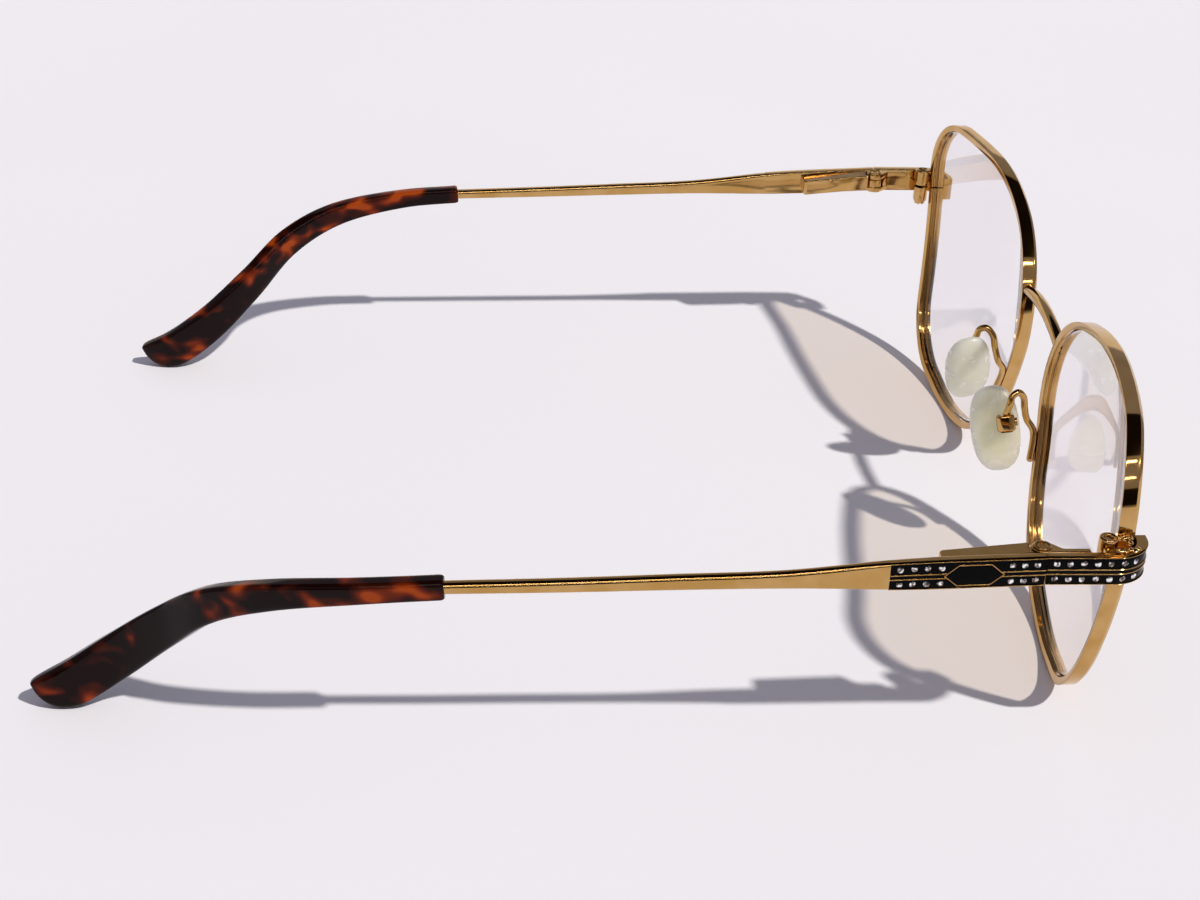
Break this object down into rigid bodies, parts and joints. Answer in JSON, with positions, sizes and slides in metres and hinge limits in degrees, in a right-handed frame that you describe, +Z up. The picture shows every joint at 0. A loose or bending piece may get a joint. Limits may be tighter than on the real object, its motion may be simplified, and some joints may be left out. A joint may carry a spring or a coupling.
{
  "type": "cat-eye eyeglasses",
  "caption": "Full-rim cat-eye eyeglasses in gold metal, with enamel-inlaid sprung temples that fold, tortoiseshell acetate tips and rocking nose pads.",
  "frame": {"origin": "on the ground under the middle of the whole, standing on the rims and the ends of the tips", "axes": "+X to the wearer's left, +Y back along the temples, the front faces -Y, +Z up"},
  "size_m": [0.1366, 0.1508, 0.0472],
  "materials": {
    "gold_metal": "polished pale gold plating",
    "steel": "bright spring steel",
    "black_enamel": "glossy black enamel",
    "tortoise_acetate": "polished dark tortoiseshell acetate",
    "lens_glass": "clear coated lens",
    "pad_silicone": "translucent soft pad"
  },
  "bodies": {
    "front": {"bridge": "gold_metal", "left_rim": "gold_metal", "left_lens": "lens_glass", "left_endpiece": "gold_metal", "left_endpiece_inlay": "black_enamel", "left_rim_lock_upper": "gold_metal", "left_rim_lock_lower": "gold_metal", "left_rim_lock_screw": "gold_metal", "left_hinge_leaf": "gold_metal", "left_pad_arm": "gold_metal", "left_pad_box": "gold_metal", "left_pad_screw": "gold_metal", "right_rim": "gold_metal", "right_lens": "lens_glass", "right_endpiece": "gold_metal", "right_endpiece_inlay": "black_enamel", "right_rim_lock_upper": "gold_metal", "right_rim_lock_lower": "gold_metal", "right_rim_lock_screw": "gold_metal", "right_hinge_leaf": "gold_metal", "right_pad_arm": "gold_metal", "right_pad_box": "gold_metal", "right_pad_screw": "gold_metal"},
    "left_screw": {"left_hinge_screw": "gold_metal"},
    "left_carrier": {"left_hinge_carrier": "steel", "left_hinge_rod_nut": "steel"},
    "left_temple": {"left_hinge_bush": "steel", "left_hinge_spring": "steel", "left_spring_box": "gold_metal", "left_temple": "gold_metal", "left_temple_inlay": "black_enamel", "left_temple_tip": "tortoise_acetate"},
    "left_pad": {"left_nose_pad": "pad_silicone", "left_pad_insert": "steel"},
    "right_screw": {"right_hinge_screw": "gold_metal"},
    "right_carrier": {"right_hinge_carrier": "steel", "right_hinge_rod_nut": "steel"},
    "right_temple": {"right_hinge_bush": "steel", "right_hinge_spring": "steel", "right_spring_box": "gold_metal", "right_temple": "gold_metal", "right_temple_inlay": "black_enamel", "right_temple_tip": "tortoise_acetate"},
    "right_pad": {"right_nose_pad": "pad_silicone", "right_pad_insert": "steel"}
  },
  "joints": [
    {"name": "left_temple_flex", "type": "hinge", "parent": "front", "child": "left_screw", "pos_m": [0.0653, -0.0579, 0.0321], "axis": [0, 0, 1], "range_deg": [-15, 0], "stiffness_Nm_per_rad": 0.08, "springref_deg": 5.73},
    {"name": "left_temple_fold", "type": "hinge", "parent": "left_screw", "child": "left_carrier", "pos_m": [0.0653, -0.0579, 0.0321], "axis": [0, 0, 1], "range_deg": [0, 82]},
    {"name": "left_temple_slide", "type": "slide", "parent": "left_carrier", "child": "left_temple", "axis": [0, 0.9945, -0.1045], "range_m": [0, 0.0008], "deforming": ["left_hinge_spring"]},
    {"name": "left_pad_rock", "type": "hinge", "parent": "front", "child": "left_pad", "pos_m": [0.0124, -0.0662, 0.0234], "axis": [0.1199, -0.97, 0.2114], "range_deg": [-8, 8]},
    {"name": "right_temple_flex", "type": "hinge", "parent": "front", "child": "right_screw", "pos_m": [-0.0653, -0.0579, 0.0321], "axis": [0, 0, -1], "range_deg": [-15, 0], "stiffness_Nm_per_rad": 0.08, "springref_deg": 5.73},
    {"name": "right_temple_fold", "type": "hinge", "parent": "right_screw", "child": "right_carrier", "pos_m": [-0.0653, -0.0579, 0.0321], "axis": [0, 0, -1], "range_deg": [0, 87]},
    {"name": "right_temple_slide", "type": "slide", "parent": "right_carrier", "child": "right_temple", "axis": [0, 0.9945, -0.1045], "range_m": [0, 0.0008], "deforming": ["right_hinge_spring"]},
    {"name": "right_pad_rock", "type": "hinge", "parent": "front", "child": "right_pad", "pos_m": [-0.0124, -0.0662, 0.0234], "axis": [0.1199, 0.97, -0.2114], "range_deg": [-8, 8]}
  ],
  "couplings": [
    {"joint": "left_temple_slide", "follows": "left_temple_flex", "m_per_rad": -0.003},
    {"joint": "right_temple_slide", "follows": "right_temple_flex", "m_per_rad": -0.003}
  ]
}
